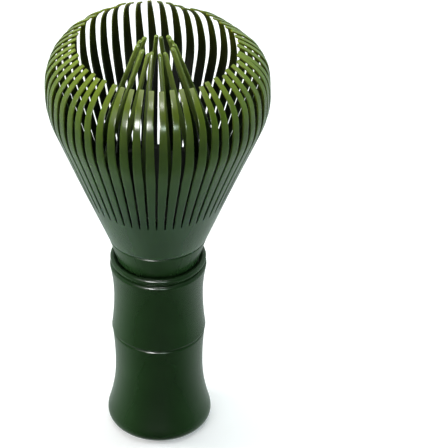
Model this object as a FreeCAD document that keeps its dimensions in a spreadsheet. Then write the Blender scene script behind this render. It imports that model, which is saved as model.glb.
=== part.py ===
import FreeCAD, Part
import os

import Sketcher

# A moulded resin tea whisk that stands on its handle. Millimetres, +Z up.
# The origin is the centre of the foot's resting face, and Z is the whisk's own axis.
# The front of the whisk is -Y.

# Driving dimensions. Heights are above the resting face, radii are from the axis.
SIZES = {
    # handle shell, outside, from the foot up
    "foot_radius": 14.1,
    "foot_edge": 2.9,
    "flare_round": 6.0,
    "flare_bend": 50.0,
    "waist_radius": 11.85,
    "under_node_radius": 12.45,
    "under_node_edge": 0.8,
    "node_height": 30.6,
    "node_depth": 0.8,
    "node_radius": 12.7,
    "node_lip": 0.7,
    "upper_waist_radius": 12.02,
    "upper_waist_height": 41.5,
    "shoulder_radius": 13.0,
    "shoulder_height": 51.6,
    "shoulder_edge": 0.9,
    "bead_radius": 12.9,
    "bead_height": 53.9,
    "bead_tube": 0.85,
    # handle shell, inside
    "shelf_height": 52.2,
    "socket_radius": 9.0,
    "socket_floor": 40.0,
    "web_thickness": 2.0,
    "core_top_radius": 8.8,
    "core_foot_radius": 9.0,
    "seat_radius": 9.6,
    "seat_depth": 2.6,
    # disc that closes the handle underneath
    "disc_thickness": 2.0,
    "disc_edge": 0.4,
    # gaps: a sliding fit in the socket, and pieces that are pressed or glued together
    "socket_fit": 0.08,
    "press_gap": 0.02,
    # neck plug
    "shelf_gap": 0.1,
    "plug_foot": 41.0,
    "plug_edge": 0.8,
    "plug_bore": 4.0,
    "neck_foot_radius": 10.4,
    "neck_height": 61.8,
    "crease": 0.3,
    "spigot_radius": 7.5,
    # seal ring in the plug's groove
    "seal_height": 47.0,
    "seal_radius": 8.15,
    "seal_tube": 0.8,
    "seal_groove_depth": 1.6,
    "seal_groove_half": 0.84,
    # outer whisk head
    "wall": 1.5,
    "thin_height": 86.0,
    "thin_wall": 0.75,
    "belly_wall": 0.55,
    "tip_wall": 0.5,
    "floor_thickness": 1.8,
    "funnel_lean": 21.5,
    "belly_radius": 29.65,
    "belly_height": 107.5,
    "belly_bend": 23.0,
    "curl_bend": 16.4,
    "curl_turn": 59.5,
    "outer_tines": 54,
    "slot_foot": 75.7,
    "slot_foot_half": 0.16,
    "slot_narrow": 96.0,
    "slot_narrow_half": 0.25,
    "slot_belly_half": 0.6,
    "slot_curl": 116.0,
    "slot_curl_half": 0.7,
    "slot_top": 123.0,
    "slot_top_half": 0.52,
    # inner whisk insert
    "hub_gap": 0.15,
    "hub_rim": 78.0,
    "hub_wall": 1.8,
    "hub_floor": 2.0,
    "stem_foot": 43.0,
    "inner_tines": 14,
    "inner_root_radius": 16.4,
    "inner_root_height": 77.0,
    "inner_root_width": 2.1,
    "inner_root_depth": 1.5,
    "inner_knee_radius": 14.8,
    "inner_knee_height": 90.0,
    "inner_knee_width": 1.8,
    "inner_knee_depth": 1.5,
    "inner_bend_radius": 10.8,
    "inner_bend_height": 104.0,
    "inner_bend_width": 1.5,
    "inner_bend_depth": 1.4,
    "inner_tip_radius": 4.4,
    "inner_tip_height": 122.0,
    "inner_tip_width": 1.1,
    "inner_tip_depth": 1.2,
}

doc = FreeCAD.newDocument("tea_whisk")

sheet = doc.addObject("Spreadsheet::Sheet", "size")
for row, (name, value) in enumerate(SIZES.items(), start=1):
    sheet.set(f"A{row}", name.replace("_", " "))
    sheet.set(f"B{row}", str(value))
    sheet.setAlias(f"B{row}", name)
doc.recompute()


# Expressions that more than one piece uses. They follow the funnel's straight side, the arc
# that carries it to the belly and the arc that curls the tines in.
LEAN = "(size.funnel_lean * 1 deg)"
TURN = "(size.curl_turn * 1 deg)"
BELLY_X = "(size.belly_radius - size.belly_bend)"
CURL_X = "(size.belly_radius - size.curl_bend)"


def side_radius(height, inset="0"):
    """Radius of the funnel's straight side at a height, moved inward by inset square to itself."""
    return (
        f"({BELLY_X} + (size.belly_bend - ({inset})) / cos({LEAN})"
        f" - (size.belly_height - ({height})) * tan({LEAN}))"
    )


def new_body(label):
    """A body whose Label names its file."""
    body = doc.addObject("PartDesign::Body", label)
    body.Label = label
    return body


def plane_of(body, role):
    """One of the body's own origin planes or axes."""
    return next(o for o in body.Origin.OriginFeatures if o.Role == role)


def new_sketch(body, name, role="XZ_Plane", height=None):
    """A sketch on one of the body's origin planes, raised to a height if one is given."""
    sketch = body.newObject("Sketcher::SketchObject", name)
    sketch.AttachmentSupport = (plane_of(body, role), [""])
    sketch.MapMode = "FlatFace"
    if height:
        sketch.setExpression("AttachmentOffset.Base.z", height)
    doc.recompute()
    return sketch


def value_of(sketch, expression):
    """The number that an expression has now."""
    result = sketch.evalExpression(expression)
    return float(getattr(result, "Value", result))


def vertex_at(sketch, geometry, point):
    """Which end of an edge, 1 or 2, lies at a point."""
    gaps = [sketch.getPoint(geometry, end).distanceToPoint(point) for end in (1, 2)]
    return 1 if gaps[0] <= gaps[1] else 2


def bind(sketch, kind, where, expression):
    """A dimension of the sketch that follows an expression."""
    number = sketch.addConstraint(Sketcher.Constraint(kind, *where, value_of(sketch, expression)))
    sketch.setExpression(f"Constraints[{number}]", expression)


def arc_between(start, end, radius):
    """The short arc from start to end. A positive radius puts its centre on the left of the way."""
    chord = end - start
    left = FreeCAD.Vector(-chord.y, chord.x, 0)
    left.normalize()
    half = chord.Length / 2
    reach = (radius * radius - half * half) ** 0.5
    side = 1 if radius > 0 else -1
    sagitta = abs(radius) - reach
    middle = (start + end) * 0.5 - left * (side * sagitta)
    return Part.Arc(start, middle, end)


def outline(sketch, corners):
    """A closed outline. Each corner is (across, up, bend): two expressions for its place, and the
    radius of the arc that leads on to the next corner, or None for a straight edge. An arc whose
    bend starts with a minus turns to the right on its way."""
    points = [
        FreeCAD.Vector(value_of(sketch, across), value_of(sketch, up), 0)
        for across, up, bend in corners
    ]
    edges = []
    for number, (across, up, bend) in enumerate(corners):
        start = points[number]
        end = points[(number + 1) % len(points)]
        if bend is None:
            edges.append(sketch.addGeometry(Part.LineSegment(start, end), False))
        else:
            radius = value_of(sketch, bend)
            edges.append(sketch.addGeometry(arc_between(start, end, radius), False))
    ends = [
        (edge, vertex_at(sketch, edge, points[number]))
        for number, edge in enumerate(edges)
    ]
    for number, (across, up, bend) in enumerate(corners):
        edge, first = ends[number]
        before, opposite = ends[number - 1]
        sketch.addConstraint(
            Sketcher.Constraint("Coincident", before, 3 - opposite, edge, first)
        )
        if across == "0":
            sketch.addConstraint(Sketcher.Constraint("PointOnObject", edge, first, -2))
        else:
            bind(sketch, "DistanceX", (-1, 1, edge, first), across)
        if up == "0":
            sketch.addConstraint(Sketcher.Constraint("PointOnObject", edge, first, -1))
        else:
            bind(sketch, "DistanceY", (-1, 1, edge, first), up)
        if bend is not None:
            bind(sketch, "Radius", (edge,), bend.lstrip("-"))
    doc.recompute()


def revolve(body, corners):
    """A full turn of an outline about the body's Z axis."""
    sketch = new_sketch(body, f"{body.Label}_outline")
    outline(sketch, corners)
    turned = body.newObject("PartDesign::Revolution", f"{body.Label}_turned")
    turned.Profile = sketch
    turned.ReferenceAxis = (plane_of(body, "Z_Axis"), [""])
    turned.Angle = 360
    doc.recompute()
    return turned


def polar_copies(body, feature, count):
    """The feature repeated evenly about the Z axis."""
    pattern = body.newObject("PartDesign::PolarPattern", f"{feature.Label}_ring")
    pattern.Originals = [feature]
    pattern.Axis = (plane_of(body, "Z_Axis"), [""])
    pattern.Angle = 360
    pattern.setExpression("Occurrences", count)
    body.Tip = pattern
    doc.recompute()
    return pattern


def make_handle_shell():
    """Waisted hollow handle: a foot below, a moulded bamboo node half way up, and a bead round
    the mouth. A web under the socket shuts the neck off from the hollow."""
    round_sum = "(size.flare_round + size.flare_bend)"
    pinch = f"({round_sum} - size.foot_radius + size.waist_radius)"
    waist_rise = f"sqrt({round_sum} * {round_sum} - {pinch} * {pinch})"
    waist_height = f"(size.foot_edge + {waist_rise})"
    share = f"size.flare_round / {round_sum}"
    under_node = "(size.node_height - size.under_node_edge)"
    node_root = "(size.under_node_radius - size.node_depth)"
    lip_height = "(size.node_height + size.node_lip)"
    shoulder_top = "(size.shoulder_height + size.shoulder_edge)"
    groove_radius = "(size.shoulder_radius - size.shoulder_edge)"
    bead_middle = "(size.bead_radius - size.bead_tube)"
    mouth_radius = "(size.bead_radius - 2 * size.bead_tube)"
    web_foot = "(size.socket_floor - size.web_thickness)"

    def bend_to_waist(radius, height, middle_radius, middle_height):
        """Radius of the arc that is upright at the waist and ends at a given place."""
        out = f"({radius} - {middle_radius})"
        rise = f"({height} - {middle_height})"
        return f"({out} * {out} + {rise} * {rise}) / (2 * {out})"

    lower_bend = bend_to_waist(
        "size.under_node_radius", under_node, "size.waist_radius", waist_height
    )
    middle_bend = bend_to_waist(
        "size.node_radius", lip_height, "size.upper_waist_radius", "size.upper_waist_height"
    )
    upper_bend = bend_to_waist(
        "size.shoulder_radius",
        "size.shoulder_height",
        "size.upper_waist_radius",
        "size.upper_waist_height",
    )
    body = new_body("handle_shell")
    revolve(body, [
        ("size.seat_radius", "0", None),
        ("size.foot_radius - size.foot_edge", "0", "size.foot_edge"),
        ("size.foot_radius", "size.foot_edge", "size.flare_round"),
        (
            f"size.foot_radius - size.flare_round + {share} * {pinch}",
            f"size.foot_edge + {share} * {waist_rise}",
            "-size.flare_bend",
        ),
        ("size.waist_radius", waist_height, f"-{lower_bend}"),
        ("size.under_node_radius", under_node, "size.under_node_edge"),
        (node_root, "size.node_height", None),
        ("size.node_radius - size.node_lip", "size.node_height", "size.node_lip"),
        ("size.node_radius", lip_height, f"-{middle_bend}"),
        ("size.upper_waist_radius", "size.upper_waist_height", f"-{upper_bend}"),
        ("size.shoulder_radius", "size.shoulder_height", "size.shoulder_edge"),
        (groove_radius, shoulder_top, None),
        (bead_middle, "size.bead_height - size.bead_tube", "size.bead_tube"),
        ("size.bead_radius", "size.bead_height", "size.bead_tube"),
        (bead_middle, "size.bead_height + size.bead_tube", "size.bead_tube"),
        (mouth_radius, "size.bead_height", None),
        (mouth_radius, "size.shelf_height", None),
        ("size.socket_radius", "size.shelf_height", None),
        ("size.socket_radius", "size.socket_floor", None),
        ("0", "size.socket_floor", None),
        ("0", web_foot, None),
        ("size.core_top_radius", web_foot, None),
        ("size.core_foot_radius", "size.seat_depth", None),
        ("size.seat_radius", "size.seat_depth", None),
    ])
    return body


def make_handle_base_disc():
    """Disc pressed into the seat under the handle, set back a little from the resting face."""
    low = "(size.seat_depth - size.disc_thickness)"
    rim = "(size.seat_radius - size.press_gap)"
    body = new_body("handle_base_disc")
    revolve(body, [
        ("0", low, None),
        (f"{rim} - size.disc_edge", low, None),
        (rim, f"{low} + size.disc_edge", None),
        (rim, "size.seat_depth", None),
        ("0", "size.seat_depth", None),
    ])
    return body


def make_neck_plug():
    """Plug that joins the whisk to the handle: a grooved barrel in the socket, the tapered neck
    band that shows above the bead, and a spigot through the funnel's floor."""
    barrel = "(size.socket_radius - size.socket_fit)"
    groove_root = f"({barrel} - size.seal_groove_depth)"
    shoulder = "(size.shelf_height + size.shelf_gap)"
    spigot = "(size.spigot_radius - size.press_gap)"
    neck = side_radius("size.neck_height")
    body = new_body("neck_plug")
    revolve(body, [
        ("size.plug_bore", "size.plug_foot", None),
        (f"{barrel} - size.plug_edge", "size.plug_foot", None),
        (barrel, "size.plug_foot + size.plug_edge", None),
        (barrel, "size.seal_height - size.seal_groove_half", None),
        (groove_root, "size.seal_height - size.seal_groove_half", None),
        (groove_root, "size.seal_height + size.seal_groove_half", None),
        (barrel, "size.seal_height + size.seal_groove_half", None),
        (barrel, shoulder, None),
        ("size.neck_foot_radius", shoulder, None),
        (f"{neck} - size.crease / 3", "size.neck_height - size.crease", None),
        (f"{neck} - size.crease", "size.neck_height", None),
        (spigot, "size.neck_height", None),
        (spigot, "size.neck_height + size.floor_thickness", None),
        ("size.plug_bore", "size.neck_height + size.floor_thickness", None),
    ])
    return body


def make_neck_seal_ring():
    """Soft ring in the plug's groove. It holds the plug in the socket and keeps tea out."""
    ring = doc.addObject("Part::Torus", "neck_seal_ring")
    ring.Label = "neck_seal_ring"
    ring.setExpression("Radius1", "size.seal_radius")
    ring.setExpression("Radius2", "size.seal_tube")
    ring.setExpression("Placement.Base.z", "size.seal_height")
    doc.recompute()
    return ring


def make_outer_whisk_head():
    """Funnel and cage in one moulding. Its outline is a straight leaning side, an arc to the
    belly and a tighter arc that curls in. Its wall thins towards the tips, and it is slit into
    tines from the funnel up."""
    funnel_bend = "(size.belly_bend - size.thin_wall)"
    tip_bend = "(size.curl_bend - size.tip_wall)"
    inner_belly = "(size.belly_radius - size.belly_wall)"
    funnel_top = (
        f"({BELLY_X} + {funnel_bend} * cos({LEAN}))",
        f"(size.belly_height - {funnel_bend} * sin({LEAN}))",
    )
    tip_inside = (
        f"({CURL_X} + {tip_bend} * cos({TURN}))",
        f"(size.belly_height + {tip_bend} * sin({TURN}))",
    )

    def bend_from_belly(across, up):
        """Radius of the arc that is upright at the belly's inner face and ends at a place."""
        inward = f"({inner_belly} - {across})"
        rise = f"({up} - size.belly_height)"
        return f"({inward} * {inward} + {rise} * {rise}) / (2 * {inward})"

    floor_top = "(size.neck_height + size.floor_thickness)"
    neck = side_radius("size.neck_height")
    body = new_body("outer_whisk_head")
    cage = revolve(body, [
        ("size.spigot_radius", "size.neck_height", None),
        (f"{neck} - size.crease", "size.neck_height", None),
        (
            side_radius("size.neck_height + size.crease"),
            "size.neck_height + size.crease",
            None,
        ),
        (
            f"{BELLY_X} + size.belly_bend * cos({LEAN})",
            f"size.belly_height - size.belly_bend * sin({LEAN})",
            "size.belly_bend",
        ),
        ("size.belly_radius", "size.belly_height", "size.curl_bend"),
        (
            f"{CURL_X} + size.curl_bend * cos({TURN})",
            f"size.belly_height + size.curl_bend * sin({TURN})",
            None,
        ),
        (*tip_inside, f"-{bend_from_belly(*tip_inside)}"),
        (inner_belly, "size.belly_height", f"-{bend_from_belly(*funnel_top)}"),
        (*funnel_top, None),
        (side_radius("size.thin_height", "size.thin_wall"), "size.thin_height", None),
        (side_radius("size.hub_rim", "size.wall"), "size.hub_rim", None),
        (side_radius(floor_top, "size.wall"), floor_top, None),
        ("size.spigot_radius", floor_top, None),
    ])
    solid_volume = cage.Shape.Volume

    # One slit through the front wall. It has a rounded foot, stays narrow up the funnel and is
    # widest above the belly.
    sketch = new_sketch(body, "slit_outline")
    outline(sketch, [
        ("size.slot_foot_half", "size.slot_foot", None),
        ("size.slot_narrow_half", "size.slot_narrow", None),
        ("size.slot_belly_half", "size.belly_height", None),
        ("size.slot_curl_half", "size.slot_curl", None),
        ("size.slot_top_half", "size.slot_top", None),
        ("-size.slot_top_half", "size.slot_top", None),
        ("-size.slot_curl_half", "size.slot_curl", None),
        ("-size.slot_belly_half", "size.belly_height", None),
        ("-size.slot_narrow_half", "size.slot_narrow", None),
        ("-size.slot_foot_half", "size.slot_foot", "size.slot_foot_half * 1.001"),
    ])
    slit = body.newObject("PartDesign::Pocket", "slit")
    slit.Profile = sketch
    slit.Reversed = True
    slit.setExpression("Length", "size.belly_radius + size.wall")
    doc.recompute()
    if not slit.Shape.Volume < solid_volume:
        raise RuntimeError("the slit removes nothing from the cage")
    polar_copies(body, slit, "size.outer_tines")
    return body


def make_inner_whisk_insert():
    """Cup that nests in the funnel, with a stem down the plug's bore and one ring of slender
    tines that lean in until their tips nearly meet."""
    floor_top = "(size.neck_height + size.floor_thickness)"
    cup_floor = f"({floor_top} + size.hub_floor)"
    outer_inset = "size.wall + size.hub_gap"
    inner_inset = "size.wall + size.hub_gap + size.hub_wall"
    body = new_body("inner_whisk_insert")
    revolve(body, [
        ("0", "size.stem_foot", None),
        ("size.plug_bore - size.press_gap", "size.stem_foot", None),
        ("size.plug_bore - size.press_gap", floor_top, None),
        (side_radius(floor_top, outer_inset), floor_top, None),
        (side_radius("size.hub_rim", outer_inset), "size.hub_rim", None),
        (side_radius("size.hub_rim", inner_inset), "size.hub_rim", None),
        (side_radius(cup_floor, inner_inset), cup_floor, None),
        ("0", cup_floor, None),
    ])
    sections = []
    for station in ("root", "knee", "bend", "tip"):
        across = f"size.inner_{station}_radius"
        half_depth = f"size.inner_{station}_depth / 2"
        half_width = f"size.inner_{station}_width / 2"
        sketch = new_sketch(
            body, f"tine_{station}", "XY_Plane", f"size.inner_{station}_height"
        )
        outline(sketch, [
            (f"{across} - {half_depth}", f"-{half_width}", None),
            (f"{across} + {half_depth}", f"-{half_width}", None),
            (f"{across} + {half_depth}", half_width, None),
            (f"{across} - {half_depth}", half_width, None),
        ])
        sections.append(sketch)
    tine = body.newObject("PartDesign::AdditiveLoft", "inner_tine")
    tine.Profile = sections[0]
    tine.Sections = sections[1:]
    doc.recompute()
    polar_copies(body, tine, "size.inner_tines")
    return body


def check_and_write(pieces):
    """Stops if anything in the document failed, then writes each piece to its own STEP file."""
    doc.recompute()
    for item in doc.Objects:
        if "Invalid" in item.State or "Error" in item.State:
            raise RuntimeError(f"{item.Label} did not compute")
    for piece in pieces:
        shape = piece.Shape
        if shape.isNull() or not shape.isValid() or len(shape.Solids) != 1:
            raise RuntimeError(f"{piece.Label} is not one valid solid")
    os.makedirs("parts", exist_ok=True)
    for piece in pieces:
        piece.Shape.exportStep(os.path.join("parts", f"{piece.Label}.step"))
        print(f"{piece.Label}: {piece.Shape.Volume:.0f} mm3")


check_and_write([
    make_handle_shell(),
    make_handle_base_disc(),
    make_neck_plug(),
    make_neck_seal_ring(),
    make_outer_whisk_head(),
    make_inner_whisk_insert(),
])
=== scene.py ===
import math
import random

import bmesh
import bpy
from mathutils import Matrix, Vector


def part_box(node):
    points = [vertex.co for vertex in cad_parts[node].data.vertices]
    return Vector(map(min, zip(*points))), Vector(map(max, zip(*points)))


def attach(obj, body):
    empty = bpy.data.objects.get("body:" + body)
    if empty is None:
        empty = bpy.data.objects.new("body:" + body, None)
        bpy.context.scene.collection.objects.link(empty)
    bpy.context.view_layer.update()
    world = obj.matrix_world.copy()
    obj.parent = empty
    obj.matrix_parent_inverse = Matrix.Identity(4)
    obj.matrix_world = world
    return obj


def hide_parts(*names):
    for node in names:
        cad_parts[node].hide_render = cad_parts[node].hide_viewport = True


# A moulded resin tea whisk. Sizes named here are millimetres, and MM turns them into metres.
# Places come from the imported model's boxes. The front of the whisk is -Y, and +Z is its axis.
# A place "along" the cage is a distance up its outer face from the neck.

MM = 0.001

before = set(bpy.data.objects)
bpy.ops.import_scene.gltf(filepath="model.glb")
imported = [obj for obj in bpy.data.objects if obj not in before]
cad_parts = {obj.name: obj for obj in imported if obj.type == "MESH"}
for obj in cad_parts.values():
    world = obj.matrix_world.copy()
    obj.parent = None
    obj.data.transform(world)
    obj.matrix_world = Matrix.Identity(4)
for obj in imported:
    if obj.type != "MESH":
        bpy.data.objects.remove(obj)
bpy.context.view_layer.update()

draw = random.Random(54)


# ---------------------------------------------------------------- places from the frame

def box_of(node):
    """A CAD node's lowest height, highest height and radius, in millimetres."""
    low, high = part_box(node)
    return low.z / MM, high.z / MM, (high.x - low.x) / 2 / MM


NECK_HEIGHT, CAGE_TOP, BELLY_RADIUS = box_of("outer_whisk_head")
STEM_FOOT, INNER_TOP, _ = box_of("inner_whisk_insert")

# The cage: a straight funnel, an arc to the belly and a tighter arc that curls the tines in.
FUNNEL_LEAN = math.radians(21.5)
BELLY_BEND = 23.0
CURL_BEND = 16.4
CURL_TURN = math.radians(59.5)
BELLY_HEIGHT = CAGE_TOP - CURL_BEND * math.sin(CURL_TURN)
TANGENT_HEIGHT = BELLY_HEIGHT - BELLY_BEND * math.sin(FUNNEL_LEAN)
TANGENT_RADIUS = BELLY_RADIUS - BELLY_BEND * (1 - math.cos(FUNNEL_LEAN))
FUNNEL_LENGTH = (TANGENT_HEIGHT - NECK_HEIGHT) / math.cos(FUNNEL_LEAN)
BELLY_LENGTH = BELLY_BEND * FUNNEL_LEAN
CAGE_LENGTH = FUNNEL_LENGTH + BELLY_LENGTH + CURL_BEND * CURL_TURN


def along_at(height):
    """The place along the funnel's outer face at a height."""
    return FUNNEL_LENGTH - (TANGENT_HEIGHT - height) / math.cos(FUNNEL_LEAN)


# The cage's floor and the hole in it for the plug's spigot.
CAGE_FLOOR = 1.8
SPIGOT_RADIUS = 7.5

# The neck's rounded lower edge: its radius and, as shares of that, where it leaves the funnel's
# face and its points (inward, upward).
CREASE = 0.3
CREASE_TOP = 1.1
CREASE_POINTS = [(0.1, 0.45), (0.45, 0.1), (1.0, 0.0)]

# The cage's wall, as (place along, thickness): it thins towards the tips.
CUP_RIM = 78.0
THIN_HEIGHT = 86.0
WALL = 1.5
THIN_WALL = 0.75
BELLY_WALL = 0.55
TIP_WALL = 0.5
WALLS = [
    (along_at(CUP_RIM), WALL),
    (along_at(THIN_HEIGHT), THIN_WALL),
    (FUNNEL_LENGTH, THIN_WALL),
    (FUNNEL_LENGTH + BELLY_LENGTH, BELLY_WALL),
    (CAGE_LENGTH, TIP_WALL),
]

# The slits between the outer tines, as (height, half width). SLIT_DRAFT is how far their sides
# open per depth, and BACK_SLITS how much wider they are at the very back.
OUTER_TINES = 54
SLIT_FOOT = 75.7
SLIT_FOOT_HALF = 0.16
SLIT_HALVES = [
    (SLIT_FOOT, SLIT_FOOT_HALF), (96.0, 0.25), (BELLY_HEIGHT, 0.6), (116.0, 0.7), (123.0, 0.52)
]
SLIT_START = along_at(SLIT_FOOT)
SLIT_DRAFT = 0.3
BACK_SLITS = 0.35

# The corners of a tine's section, as (place along, radius), and the rounding of its tip.
TIP_CORNER = 0.13
CORNERS = [
    (SLIT_START, 0.0), (SLIT_START + 3.0, 0.3), (FUNNEL_LENGTH, 0.18), (CAGE_LENGTH, TIP_CORNER)
]
CORNER_STEPS = [math.radians(a) for a in (0, 30, 60, 90)]
TIP_ROUND = 0.45
TIP_SHRINK = 0.12
TIP_STEPS = [math.radians(a) for a in (25, 50, 70, 90)]

# The funnel's columns under each tine, which meet the tine's own, and its rows of faces outside
# and inside.
TINE_COLUMNS = 4
OUTER_ROWS = 12
INNER_ROWS = 10

# A tine's loops: their places past the slit's foot, and how many follow up to the tip.
FOOT_STEPS = (0, 0.02, 0.06, 0.11, 0.18, 0.35, 0.7, 1.2, 1.8)
TINE_STEPS = 34

# Where the cage isn't quite true: each tip's random drift, how far the tips at the back lean to
# the left and in and the angle where they lean most, how far the whole cage leans over at the
# belly, and how much fuller than its arc the curl is.
DRIFT_OUT, DRIFT_ROUND, DRIFT_UP = 0.22, 0.16, 0.14
BACK_LEAN = Vector((-2.0, -1.3, -0.2))
BACK_LEAN_FROM = math.radians(57)
BELLY_SHIFT = Vector((0.4, 0, 0))
CURL_SWELL = 0.8

# The place among a piece's materials of the painted shade inside the cage. On a tine it goes to
# the faces whose vertices lie, on average, deeper than half of INSIDE_DEPTH, with none counted as
# deeper than it.
PAINTED_SHADE_INDEX = 1
INSIDE_DEPTH = 0.4

# The angle of the middle of the front.
FRONT = math.radians(-90)

# The inner insert's cup, with its clearance off the cage, and its stem.
CUP_GAP = 0.15
CUP_WALL = 1.8
CUP_FLOOR = 2.0
CUP_EDGE = 0.35
CUP_FILLET = 1.0
CUP_COLUMNS = 168
STEM_RADIUS = 3.98

# The insert's tines. Their middle line is straight above INNER_BEND_HEIGHT and bowed below, and
# their section's half width and half depth taper from the root to the tip.
INNER_TINES = 14
INNER_ROOT_HEIGHT = 76.0
INNER_BEND_HEIGHT = 104.0
INNER_TIP_RADIUS = 4.4
INNER_SLOPE = 0.355
INNER_BOW = 0.0052
INNER_WIDTH, INNER_WIDTH_TAPER = 1.05, 0.5
INNER_DEPTH, INNER_DEPTH_TAPER = 0.75, 0.15
INNER_SIDES = 16
INNER_SQUARENESS = 0.6
INNER_STEPS = 30
INNER_TIP_ROUND = 0.6
INNER_TIP_FLAT = 0.3
INNER_TIP_STEPS = (1.0, 0.7, 0.4, 0.2, 0.06, 0.0)

# How far each inner tine's tip leans round the axis from its even place, in degrees, and the
# random spread of its reach outward and of its height.
INNER_TIP_LEAN = [10, 9, -1, -2, -13, 6, 0, 0, 13, 13, -2, 0, -7, 6]
INNER_REACH_SPREAD = 0.35
INNER_HEIGHT_SPREAD = 0.5

# Vertices closer than WELD, in metres, become one. ON_AXIS is a radius small enough for that.
WELD = 2e-6
ON_AXIS = 0.001
SHARP_EDGE = math.radians(40)


# ---------------------------------------------------------------- mesh helpers

def smooth(value):
    """Eases 0 to 1, and holds outside that."""
    value = min(max(value, 0.0), 1.0)
    return value * value * (3 - 2 * value)


def between(value, table):
    """Reads a table of (place, amount) at a value, along straight lines between its rows."""
    if value <= table[0][0]:
        return table[0][1]
    for (low, first), (high, second) in zip(table, table[1:]):
        if value <= high:
            return first + (second - first) * (value - low) / (high - low)
    return table[-1][1]


def around(radius, angle, height):
    """A point in metres from a radius and height in millimetres and an angle round the axis."""
    return Vector((radius * math.cos(angle), radius * math.sin(angle), height)) * MM


def spokes(angle):
    """Unit vectors outward from the axis and sideways round it, at an angle."""
    outward = Vector((math.cos(angle), math.sin(angle), 0))
    sideways = Vector((-math.sin(angle), math.cos(angle), 0))
    return outward, sideways


def skin(bm, loops):
    """Faces between successive closed loops of vertices."""
    for low, high in zip(loops, loops[1:]):
        for i in range(len(low)):
            j = (i + 1) % len(low)
            bm.faces.new((low[i], low[j], high[j], high[i]))


def turn(bm, profile, columns):
    """A full turn of an open (radius, height) profile about the axis."""
    loops = []
    for radius, height in profile:
        loops.append([
            bm.verts.new(around(radius, 2 * math.pi * i / columns, height))
            for i in range(columns)
        ])
    skin(bm, loops)


def piece(name, bm, materials, body, slot, *nodes):
    """Makes a smooth object of a bmesh. It rides on a body and stands for CAD nodes."""
    bmesh.ops.remove_doubles(bm, verts=bm.verts, dist=WELD)
    bmesh.ops.recalc_face_normals(bm, faces=bm.faces)
    mesh = bpy.data.meshes.new(name)
    bm.to_mesh(mesh)
    bm.free()
    mesh.shade_smooth()
    mesh.set_sharp_from_angle(angle=SHARP_EDGE)
    for material in materials:
        mesh.materials.append(material)
    made = bpy.data.objects.new(name, mesh)
    bpy.context.scene.collection.objects.link(made)
    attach(made, body)
    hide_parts(*nodes)


# ---------------------------------------------------------------- materials

# The height at which every ramp of tones ends.
RAMP_TOP = 125.0
# How far light travels in the resin, each colour's factor on that, and the grain's depth.
SCATTER = 0.8
SCATTER_FACTORS = (1.0, 1.3, 0.25)
GRAIN_DEPTH = 0.008


def tone_by_height(nodes, links, place, tones):
    """The socket of a colour that runs through (height, colour) tones up the whisk."""
    split = nodes.new("ShaderNodeSeparateXYZ")
    links.new(place.outputs["Object"], split.inputs[0])
    height = nodes.new("ShaderNodeMapRange")
    height.inputs["From Max"].default_value = RAMP_TOP * MM
    links.new(split.outputs["Z"], height.inputs["Value"])
    ramp = nodes.new("ShaderNodeValToRGB")
    stops = ramp.color_ramp.elements
    while len(stops) < len(tones):
        stops.new(0.5)
    for stop, (level, colour) in zip(stops, tones):
        stop.position = level / RAMP_TOP
        stop.color = (*colour, 1)
    links.new(height.outputs["Result"], ramp.inputs["Fac"])
    return ramp.outputs["Color"]


def noise(nodes, links, vector, scale, detail, low, high):
    """The socket of a noise that runs between low and high. Nearly all of the texture's own
    values lie between 0.3 and 0.7."""
    texture = nodes.new("ShaderNodeTexNoise")
    texture.inputs["Scale"].default_value = scale
    texture.inputs["Detail"].default_value = detail
    links.new(vector, texture.inputs["Vector"])
    spread = nodes.new("ShaderNodeMapRange")
    spread.inputs["From Min"].default_value = 0.3
    spread.inputs["From Max"].default_value = 0.7
    spread.inputs["To Min"].default_value = low
    spread.inputs["To Max"].default_value = high
    links.new(texture.outputs["Fac"], spread.inputs["Value"])
    return spread.outputs["Result"]


def moulded_resin(name, tones, roughness, specular, translucency):
    """Moulded resin. Its colour runs through tones up the whisk, with faint mottling, flow
    streaks and a fine grain."""
    material = bpy.data.materials.new(name)
    material.use_nodes = True
    nodes = material.node_tree.nodes
    links = material.node_tree.links
    shader = nodes["Principled BSDF"]
    shader.inputs["Specular IOR Level"].default_value = specular
    shader.inputs["Subsurface Weight"].default_value = translucency
    shader.inputs["Subsurface Radius"].default_value = SCATTER_FACTORS
    shader.inputs["Subsurface Scale"].default_value = SCATTER * MM

    place = nodes.new("ShaderNodeTexCoord")
    tone = tone_by_height(nodes, links, place, tones)
    mottle = noise(
        nodes, links, place.outputs["Object"], scale=90, detail=4, low=0.9, high=1.1
    )
    tint = nodes.new("ShaderNodeVectorMath")
    tint.operation = "SCALE"
    links.new(tone, tint.inputs[0])
    links.new(mottle, tint.inputs["Scale"])
    links.new(tint.outputs["Vector"], shader.inputs["Base Color"])

    stretch = nodes.new("ShaderNodeMapping")
    stretch.inputs["Scale"].default_value = (1, 1, 0.12)
    links.new(place.outputs["Object"], stretch.inputs["Vector"])
    streak = noise(
        nodes, links, stretch.outputs["Vector"], scale=150, detail=2,
        low=roughness - 0.02, high=roughness + 0.03,
    )
    links.new(streak, shader.inputs["Roughness"])

    grain = noise(nodes, links, place.outputs["Object"], scale=900, detail=2, low=0, high=1)
    bump = nodes.new("ShaderNodeBump")
    bump.inputs["Strength"].default_value = 0.1
    bump.inputs["Distance"].default_value = GRAIN_DEPTH * MM
    links.new(grain, bump.inputs["Height"])
    links.new(bump.outputs["Normal"], shader.inputs["Normal"])
    return material


# Tones are (height, colour).
HANDLE_GREEN = (0.0088, 0.027, 0.0068)
# The head's tones brighten about eightfold from the funnel up to the tips: painted light from
# above on the curl, laid over the resin's own green.
head_resin = moulded_resin("head_resin", [
    (78, (0.0175, 0.045, 0.017)),
    (95, (0.024, 0.055, 0.0145)),
    (BELLY_HEIGHT, (0.031, 0.059, 0.008)),
    (116, (0.066, 0.105, 0.009)),
    (122, (0.145, 0.195, 0.016)),
], roughness=0.22, specular=0.4, translucency=0.15)
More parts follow.
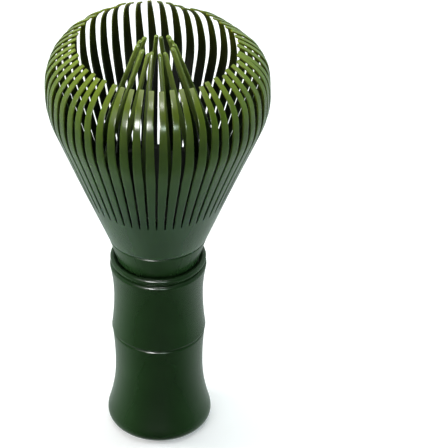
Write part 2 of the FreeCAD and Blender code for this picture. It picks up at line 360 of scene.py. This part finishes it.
# Painted shade on the tines' inner and slit-side faces and on the insert's cup: near black low
# in the cage where shade falls, lighter towards the tips where light gets in, and matt.
painted_shade_resin = moulded_resin("painted_shade_resin", [
    (78, (0.002, 0.004, 0.001)),
    (96, (0.004, 0.007, 0.001)),
    (106, (0.022, 0.03, 0.003)),
    (116, (0.075, 0.09, 0.006)),
    (121, (0.15, 0.17, 0.012)),
], roughness=0.45, specular=0.1, translucency=0.1)
# The insert's tones run from near black at the roots to bright tips: painted shade low inside the
# cage and painted light from above at the tips, over the resin's own green.
insert_resin = moulded_resin("insert_resin", [
    (80, (0.004, 0.009, 0.002)),
    (98, (0.02, 0.036, 0.006)),
    (110, (0.09, 0.13, 0.024)),
    (122, (0.18, 0.24, 0.04)),
], roughness=0.2, specular=0.4, translucency=0.15)
handle_resin = moulded_resin("handle_resin", [
    (0, HANDLE_GREEN), (62, (0.0095, 0.029, 0.0075)),
], roughness=0.22, specular=0.4, translucency=0.0)
# The neck band is darker at its foot: painted shade under the handle's mouth.
neck_resin = moulded_resin("neck_resin", [
    (52, (0.0085, 0.026, 0.0065)), (62, (0.0125, 0.035, 0.0105)),
], roughness=0.26, specular=0.2, translucency=0.0)
base_resin = moulded_resin("base_resin", [
    (0, HANDLE_GREEN), (3, HANDLE_GREEN),
], roughness=0.5, specular=0.4, translucency=0.0)
seal_rubber = moulded_resin("seal_rubber", [
    (45, (0.012, 0.012, 0.012)), (49, (0.015, 0.015, 0.015)),
], roughness=0.55, specular=0.4, translucency=0.0)


# ---------------------------------------------------------------- outer cage

def cage_face(along):
    """Radius, height and upward look of the cage's outer face, a distance along from the neck."""
    if along < FUNNEL_LENGTH:
        back = FUNNEL_LENGTH - along
        radius = TANGENT_RADIUS - back * math.sin(FUNNEL_LEAN)
        height = TANGENT_HEIGHT - back * math.cos(FUNNEL_LEAN)
        return radius, height, -FUNNEL_LEAN
    if along < FUNNEL_LENGTH + BELLY_LENGTH:
        look = (along - FUNNEL_LENGTH) / BELLY_BEND - FUNNEL_LEAN
        bend = BELLY_BEND
    else:
        look = (along - FUNNEL_LENGTH - BELLY_LENGTH) / CURL_BEND
        bend = CURL_BEND
    radius = BELLY_RADIUS - bend + bend * math.cos(look)
    height = BELLY_HEIGHT + bend * math.sin(look)
    return radius, height, look


def below_face(along, depth):
    """Radius and height of a point a depth under the cage's outer face."""
    radius, height, look = cage_face(along)
    return radius - depth * math.cos(look), height - depth * math.sin(look)


def slit_half(height):
    """Half the width of a slit at a height. Its foot is round."""
    rise = min(max((height - SLIT_FOOT) / SLIT_FOOT_HALF, 0.0), 1.0)
    return between(height, SLIT_HALVES) * math.sqrt(1 - (1 - rise) ** 2)


def tine_section(along, corner, shrink):
    """One half of a tine's section, from the middle of its outer face round to the middle of its
    inner face, as (share of the half pitch, distance off the slit wall, depth)."""
    outer = shrink
    inner = between(along, WALLS) - shrink
    rounding = [
        (corner * (1 - math.sin(turned)), corner * (1 - math.cos(turned)))
        for turned in CORNER_STEPS
    ]
    half = [(0.0, 0.0, outer), (0.5, 0.0, outer)]
    half += [(1.0, off_wall, outer + under) for off_wall, under in rounding]
    half += [(1.0, off_wall, inner - under) for off_wall, under in reversed(rounding)]
    half += [(0.5, 0.0, inner), (0.0, 0.0, inner)]
    return half


def tine_loop(bm, middle, along, corner, shrink, sway, widen):
    """A closed loop of vertices round a tine, shrunk by a distance on all sides and swayed off
    its place by a vector. Its slits are widened by a factor."""
    inside = bm.verts.layers.float["inside"]
    half = tine_section(along, corner, shrink)
    pitch_half = math.pi / OUTER_TINES
    sides = [(1, entry) for entry in half] + [(-1, entry) for entry in reversed(half[1:-1])]
    loop = []
    for side, (share, off_wall, depth) in sides:
        radius, height = below_face(along, depth)
        cut = slit_half(height) * widen + shrink + SLIT_DRAFT * depth
        if share == 1.0:
            lateral = pitch_half - (cut + off_wall) / radius
        else:
            lateral = share * (pitch_half - cut / radius)
        vertex = bm.verts.new(around(radius, middle + side * lateral, height) + sway)
        vertex[inside] = min(depth / INSIDE_DEPTH, 1.0)
        loop.append(vertex)
    return loop


def tine_stations():
    """Places along the face for a tine's loops: close together at the slit's foot."""
    near_foot = [SLIT_START + step for step in FOOT_STEPS]
    start = near_foot[-1]
    stop = CAGE_LENGTH - TIP_ROUND
    return near_foot + [
        start + (stop - start) * (i + 1) / TINE_STEPS for i in range(TINE_STEPS)
    ]


def outer_tine(bm, middle, drift):
    """One tine of the cage, with its middle at an angle. Its top drifts by a vector."""
    outward, _ = spokes(middle)
    loops = []
    for along in tine_stations():
        corner = between(along, CORNERS)
        bend = smooth((along - FUNNEL_LENGTH) / (CAGE_LENGTH - FUNNEL_LENGTH))
        rise = smooth((along - SLIT_START) / (BELLY_LENGTH + FUNNEL_LENGTH - SLIT_START))
        curl = max(along - FUNNEL_LENGTH - BELLY_LENGTH, 0.0) / (CURL_BEND * CURL_TURN)
        sway = (
            drift * bend + BELLY_SHIFT * rise
            + outward * CURL_SWELL * math.sin(math.pi * curl) ** 2
        ) * MM
        widen = 1 + BACK_SLITS * bend * max(math.sin(middle), 0.0)
        loops.append(tine_loop(bm, middle, along, corner, 0.0, sway, widen))
    # The domed tip keeps the last loop's sway and slits.
    for turned in TIP_STEPS:
        along = CAGE_LENGTH - TIP_ROUND * (1 - math.sin(turned))
        shrink = TIP_SHRINK * (1 - math.cos(turned))
        loops.append(tine_loop(bm, middle, along, TIP_CORNER, shrink, sway, widen))
    skin(bm, loops)
    bm.faces.new(loops[-1])


def funnel_profile():
    """The funnel's outline: down its outer face from the slits' foot, round the neck's edge and
    the floor, and up its inner face. The tines join its two ends."""
    floor_top = NECK_HEIGHT + CAGE_FLOOR
    neck_radius, _ = below_face(0, 0)
    profile = [
        below_face(SLIT_START - SLIT_START * i / OUTER_ROWS, 0) for i in range(OUTER_ROWS)
    ]
    profile += [below_face(CREASE * CREASE_TOP, 0)]
    profile += [
        (neck_radius - CREASE * inward, NECK_HEIGHT + CREASE * upward)
        for inward, upward in CREASE_POINTS
    ]
    inner_foot = CAGE_FLOOR / math.cos(FUNNEL_LEAN) + WALL * math.tan(FUNNEL_LEAN)
    foot_radius, _ = below_face(inner_foot, WALL)
    profile += [
        (SPIGOT_RADIUS, NECK_HEIGHT), (SPIGOT_RADIUS, floor_top), (foot_radius, floor_top)
    ]
    profile += [
        below_face(inner_foot + (SLIT_START - inner_foot) * (i + 1) / INNER_ROWS, WALL)
        for i in range(INNER_ROWS)
    ]
    return profile


def make_outer_cage():
    """Funnel and tines in one moulded piece."""
    bm = bmesh.new()
    inside = bm.verts.layers.float.new("inside")
    turn(bm, funnel_profile(), OUTER_TINES * TINE_COLUMNS)
    for number in range(OUTER_TINES):
        middle = FRONT + 2 * math.pi * (number + 0.5) / OUTER_TINES
        outward, sideways = spokes(middle)
        drift = (
            outward * draw.gauss(0, DRIFT_OUT) + sideways * draw.gauss(0, DRIFT_ROUND)
            + Vector((0, 0, draw.gauss(0, DRIFT_UP)))
            + BACK_LEAN * max(math.cos(middle - BACK_LEAN_FROM), 0.0) ** 2
        )
        outer_tine(bm, middle, drift)
    # Faces deep in a tine's wall, its inner and slit sides, take the painted shade.
    for face in bm.faces:
        shares = [vertex[inside] for vertex in face.verts]
        if sum(shares) / len(shares) > 0.5:
            face.material_index = PAINTED_SHADE_INDEX
    bm.verts.layers.float.remove(inside)
    piece("cage", bm, (head_resin, painted_shade_resin), "whisk_head", "head_resin", "outer_whisk_head")


# ---------------------------------------------------------------- inner insert

def funnel_side(height, inset):
    """Radius of a cone that lies an inset inside the funnel's outer face, at a height."""
    radius = TANGENT_RADIUS - (TANGENT_HEIGHT - height) * math.tan(FUNNEL_LEAN)
    return radius - inset / math.cos(FUNNEL_LEAN)


def cup_profile():
    """The outline of the stem and the cup: up their outside and down into the cup."""
    floor_top = NECK_HEIGHT + CAGE_FLOOR
    cup_floor = floor_top + CUP_FLOOR
    outer = WALL + CUP_GAP
    inner = outer + CUP_WALL
    part_way = CUP_FILLET * 0.3
    return [
        (ON_AXIS, STEM_FOOT),
        (STEM_RADIUS - CUP_EDGE, STEM_FOOT),
        (STEM_RADIUS, STEM_FOOT + CUP_EDGE),
        (STEM_RADIUS, floor_top),
        (funnel_side(floor_top, outer), floor_top),
        (funnel_side(CUP_RIM - CUP_EDGE, outer), CUP_RIM - CUP_EDGE),
        (funnel_side(CUP_RIM, outer + CUP_EDGE), CUP_RIM),
        (funnel_side(CUP_RIM, inner - CUP_EDGE), CUP_RIM),
        (funnel_side(CUP_RIM - CUP_EDGE, inner), CUP_RIM - CUP_EDGE),
        (funnel_side(cup_floor + CUP_FILLET, inner), cup_floor + CUP_FILLET),
        (funnel_side(cup_floor + part_way, inner + part_way), cup_floor + part_way),
        (funnel_side(cup_floor, inner + CUP_FILLET), cup_floor),
        (ON_AXIS, cup_floor),
    ]


def inner_line(height):
    """Radius of an inner tine's middle line at a height."""
    radius = INNER_TIP_RADIUS + INNER_SLOPE * (INNER_TOP - height)
    if height < INNER_BEND_HEIGHT:
        radius -= INNER_BOW * (INNER_BEND_HEIGHT - height) ** 2
    return radius


def squared(value):
    """Swells a sine or cosine, so that an oval turns into a rounded rectangle."""
    return math.copysign(abs(value) ** INNER_SQUARENESS, value)


def inner_loop(bm, angle, lean, share, reach, height, width, depth):
    """A closed rounded loop round an inner tine, at a share of its length."""
    radius = inner_line(height) + reach * share * share
    outward, sideways = spokes(angle + lean * share ** 3)
    middle = outward * radius + Vector((0, 0, height))
    loop = []
    for i in range(INNER_SIDES):
        a = 2 * math.pi * (i + 0.5) / INNER_SIDES
        across = squared(math.cos(a)) * width
        out = squared(math.sin(a)) * depth
        loop.append(bm.verts.new((middle + sideways * across + outward * out) * MM))
    return loop


def inner_tine(bm, number):
    """One slender tine, from its root in the cup's wall to its domed tip."""
    angle = 2 * math.pi * number / INNER_TINES
    lean = math.radians(INNER_TIP_LEAN[number])
    reach = draw.gauss(0, INNER_REACH_SPREAD)
    tip_height = INNER_TOP - abs(draw.gauss(0, INNER_HEIGHT_SPREAD))
    length = tip_height - INNER_ROOT_HEIGHT
    from_tip = [
        length - (length - INNER_TIP_ROUND) * i / INNER_STEPS for i in range(INNER_STEPS)
    ]
    from_tip += [INNER_TIP_ROUND * share for share in INNER_TIP_STEPS]
    loops = []
    for below in from_tip:
        share = 1 - below / length
        rise = min(below / INNER_TIP_ROUND, 1.0)
        dome = INNER_TIP_FLAT + (1 - INNER_TIP_FLAT) * math.sqrt(1 - (1 - rise) ** 2)
        width = (INNER_WIDTH - INNER_WIDTH_TAPER * share) * dome
        depth = (INNER_DEPTH - INNER_DEPTH_TAPER * share) * dome
        loops.append(
            inner_loop(bm, angle, lean, share, reach, tip_height - below, width, depth)
        )
    skin(bm, loops)
    bm.faces.new(loops[-1])
    bm.faces.new(loops[0])


def make_inner_insert():
    """Cup, stem and one ring of slender leaning tines."""
    bm = bmesh.new()
    turn(bm, cup_profile(), CUP_COLUMNS)
    # The cup and stem take the painted shade that stands for the dark inside of the cage.
    for face in bm.faces:
        face.material_index = PAINTED_SHADE_INDEX
    for number in range(INNER_TINES):
        inner_tine(bm, number)
    piece(
        "insert", bm, (insert_resin, painted_shade_resin), "whisk_head", "insert_resin",
        "inner_whisk_insert",
    )


# ---------------------------------------------------------------- CAD pieces that stay

def dress(node, material):
    """Gives a CAD node a material in place of its plain one."""
    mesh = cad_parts[node].data
    mesh.materials.clear()
    mesh.materials.append(material)


make_outer_cage()
make_inner_insert()
dress("handle_shell", handle_resin)
dress("handle_base_disc", base_resin)
dress("neck_plug", neck_resin)
dress("neck_seal_ring", seal_rubber)


# ---------------------------------------------------------------- floor, light and camera

# Sizes from here on are metres, and angles are degrees.
FLOOR_REACH = 6.0
LIGHT_AIM = Vector((0, 0, 0.08))
WHITE = (1, 1, 1)

# Name, azimuth, elevation, distance, width, height, watts, colour, and the rays that miss it.
SOFTBOXES = [
    ("low_left", -17, 21, 1.6, 0.46, 0.56, 40, WHITE, "diffuse"),
    ("low_right", 11, 15, 1.6, 0.34, 0.3, 9, (0.8, 1.0, 0.9), "diffuse"),
    ("high_front", 3, 68, 1.6, 0.34, 0.12, 6, WHITE, "diffuse"),
    ("front_fill", -30, 34, 1.6, 1.2, 1.0, 8, WHITE, None),
    ("left_fill", -100, 6, 1.6, 0.8, 0.4, 42, WHITE, "glossy"),
    ("right_fill", 100, 6, 1.6, 0.8, 0.4, 25, (0.75, 0.93, 1.0), "glossy"),
    ("overhead", 180, 80, 1.8, 1.6, 1.6, 24, WHITE, None),
]


def toward(azimuth, elevation):
    """A unit vector out of the whisk. Azimuth 0 is the front, and turns towards +X."""
    azimuth = math.radians(azimuth)
    elevation = math.radians(elevation)
    return Vector((
        math.sin(azimuth) * math.cos(elevation),
        -math.cos(azimuth) * math.cos(elevation),
        math.sin(elevation),
    ))


def make_floor():
    """Plain near-white floor. It glows a little, and doesn't show in the resin's gloss."""
    bm = bmesh.new()
    bmesh.ops.create_grid(bm, x_segments=1, y_segments=1, size=FLOOR_REACH)
    mesh = bpy.data.meshes.new("floor")
    bm.to_mesh(mesh)
    bm.free()
    floor = bpy.data.objects.new("floor", mesh)
    bpy.context.scene.collection.objects.link(floor)
    material = bpy.data.materials.new("floor_paint")
    material.use_nodes = True
    shader = material.node_tree.nodes["Principled BSDF"]
    shader.inputs["Base Color"].default_value = (0.9, 0.9, 0.9, 1)
    shader.inputs["Roughness"].default_value = 0.9
    shader.inputs["Specular IOR Level"].default_value = 0.0
    shader.inputs["Emission Color"].default_value = (1, 1, 1, 1)
    shader.inputs["Emission Strength"].default_value = 0.2
    mesh.materials.append(material)
    floor.visible_glossy = False


def make_lights():
    """Softboxes that face the whisk: small ones in front draw the highlights, and large ones
    fill in."""
    for name, azimuth, elevation, distance, width, tall, power, colour, missed in SOFTBOXES:
        data = bpy.data.lights.new(name, "AREA")
        data.shape = "RECTANGLE"
        data.size = width
        data.size_y = tall
        data.energy = power
        data.color = colour
        lamp = bpy.data.objects.new(name, data)
        bpy.context.scene.collection.objects.link(lamp)
        direction = toward(azimuth, elevation)
        lamp.location = LIGHT_AIM + direction * distance
        lamp.rotation_euler = direction.to_track_quat("Z", "Y").to_euler()
        lamp.visible_camera = False
        lamp.visible_diffuse = missed != "diffuse"
        lamp.visible_glossy = missed != "glossy"


def make_world():
    """Pale surroundings at the back and sides, and a dim room in front."""
    world = bpy.data.worlds.new("studio")
    bpy.context.scene.world = world
    world.use_nodes = True
    nodes = world.node_tree.nodes
    links = world.node_tree.links
    background = nodes["Background"]
    place = nodes.new("ShaderNodeTexCoord")
    split = nodes.new("ShaderNodeSeparateXYZ")
    links.new(place.outputs["Generated"], split.inputs[0])
    ramp = nodes.new("ShaderNodeMapRange")
    ramp.interpolation_type = "SMOOTHSTEP"
    ramp.inputs["From Min"].default_value = -0.6
    ramp.inputs["From Max"].default_value = 0.5
    ramp.inputs["To Min"].default_value = 0.03
    ramp.inputs["To Max"].default_value = 0.62
    links.new(split.outputs["Y"], ramp.inputs["Value"])
    links.new(ramp.outputs["Result"], background.inputs["Strength"])
    background.inputs["Color"].default_value = (0.9, 1.0, 0.97, 1)


def make_camera():
    """A long lens that looks down at the whisk from the front."""
    azimuth, elevation, roll = 1.02, 35.70, -0.515
    distance = 1.1083
    aim = Vector((0, 0, 0.0649))
    data = bpy.data.cameras.new("camera")
    data.lens = 333.5
    data.sensor_width = 36
    data.shift_x = 0.1476
    data.shift_y = -0.0045
    data.clip_end = 30
    camera = bpy.data.objects.new("camera", data)
    bpy.context.scene.collection.objects.link(camera)
    direction = toward(azimuth, elevation)
    camera.location = aim + direction * distance
    upright = direction.to_track_quat("Z", "Y").to_matrix()
    rolled = upright @ Matrix.Rotation(math.radians(roll), 3, "Z")
    camera.rotation_euler = rolled.to_euler()
    bpy.context.scene.camera = camera


make_floor()
make_lights()
make_world()
make_camera()

bpy.context.scene.view_settings.view_transform = "Standard"
